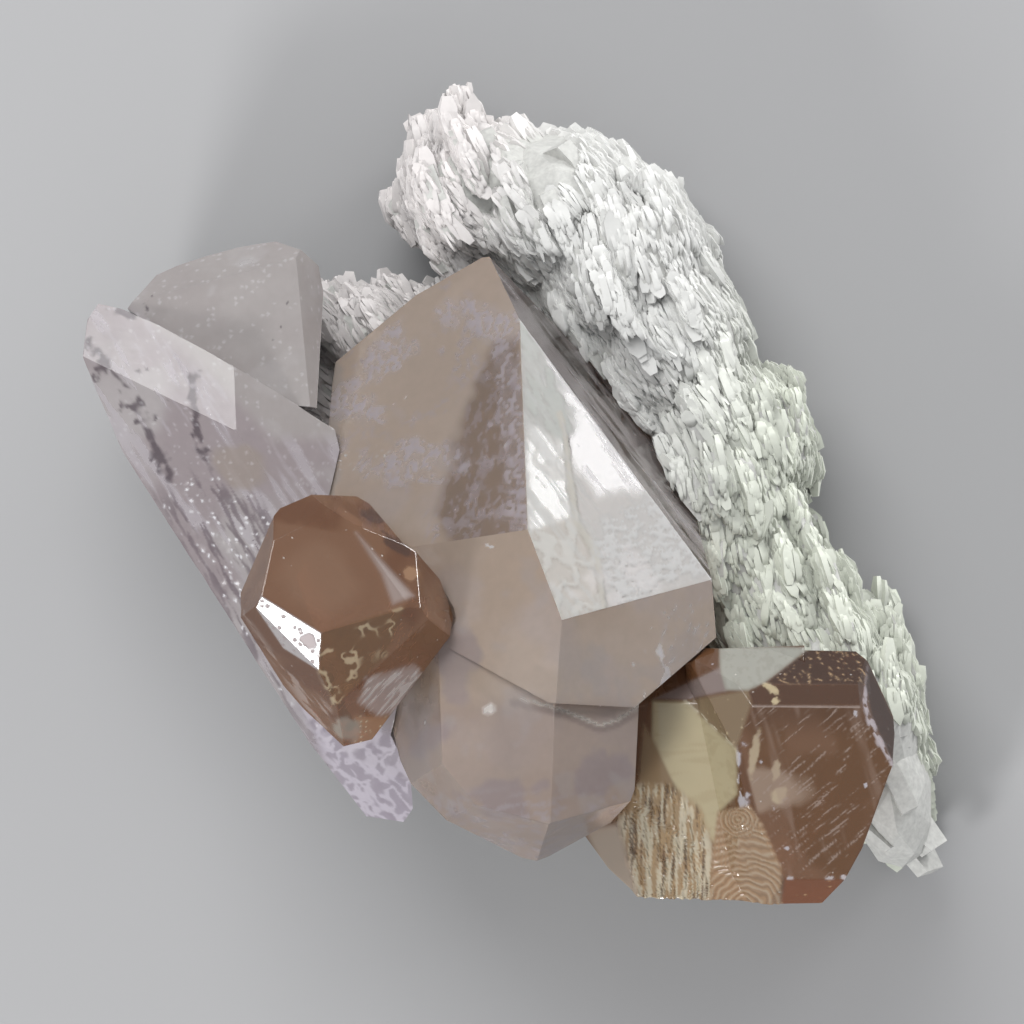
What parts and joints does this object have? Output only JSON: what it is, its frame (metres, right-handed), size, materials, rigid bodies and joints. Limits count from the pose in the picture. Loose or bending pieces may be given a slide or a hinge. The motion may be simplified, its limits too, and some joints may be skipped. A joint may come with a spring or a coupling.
{
  "type": "topaz crystal specimen",
  "caption": "Natural mineral specimen: brown topaz crystals grown on pale smoky quartz crystals in a white bladed albite matrix with a flat back.",
  "frame": {"origin": "under the middle of the specimen's bounding box, on the trimmed back it lies on", "axes": "+Z out of the flat back towards the crystals, +Y towards the point of the large quartz crystal"},
  "size_m": [0.0866, 0.0812, 0.047],
  "materials": {
    "albite": "white, faintly translucent blades with a soft sheen",
    "quartz_smoky": "cloudy smoky grey-beige quartz with frosted and lace-etched faces",
    "quartz_milky": "milky lavender-grey quartz with rough growth faces",
    "topaz_brown": "clear glossy sherry-brown topaz with internal veils",
    "topaz_pale": "clear glossy brown topaz, pale yellow and cleaved on one side"
  },
  "bodies": {
    "root": {"albite_matrix": "albite", "quartz_main": "quartz_smoky", "quartz_left": "quartz_milky", "topaz_left": "topaz_brown", "topaz_right": "topaz_pale"}
  },
  "joints": []
}
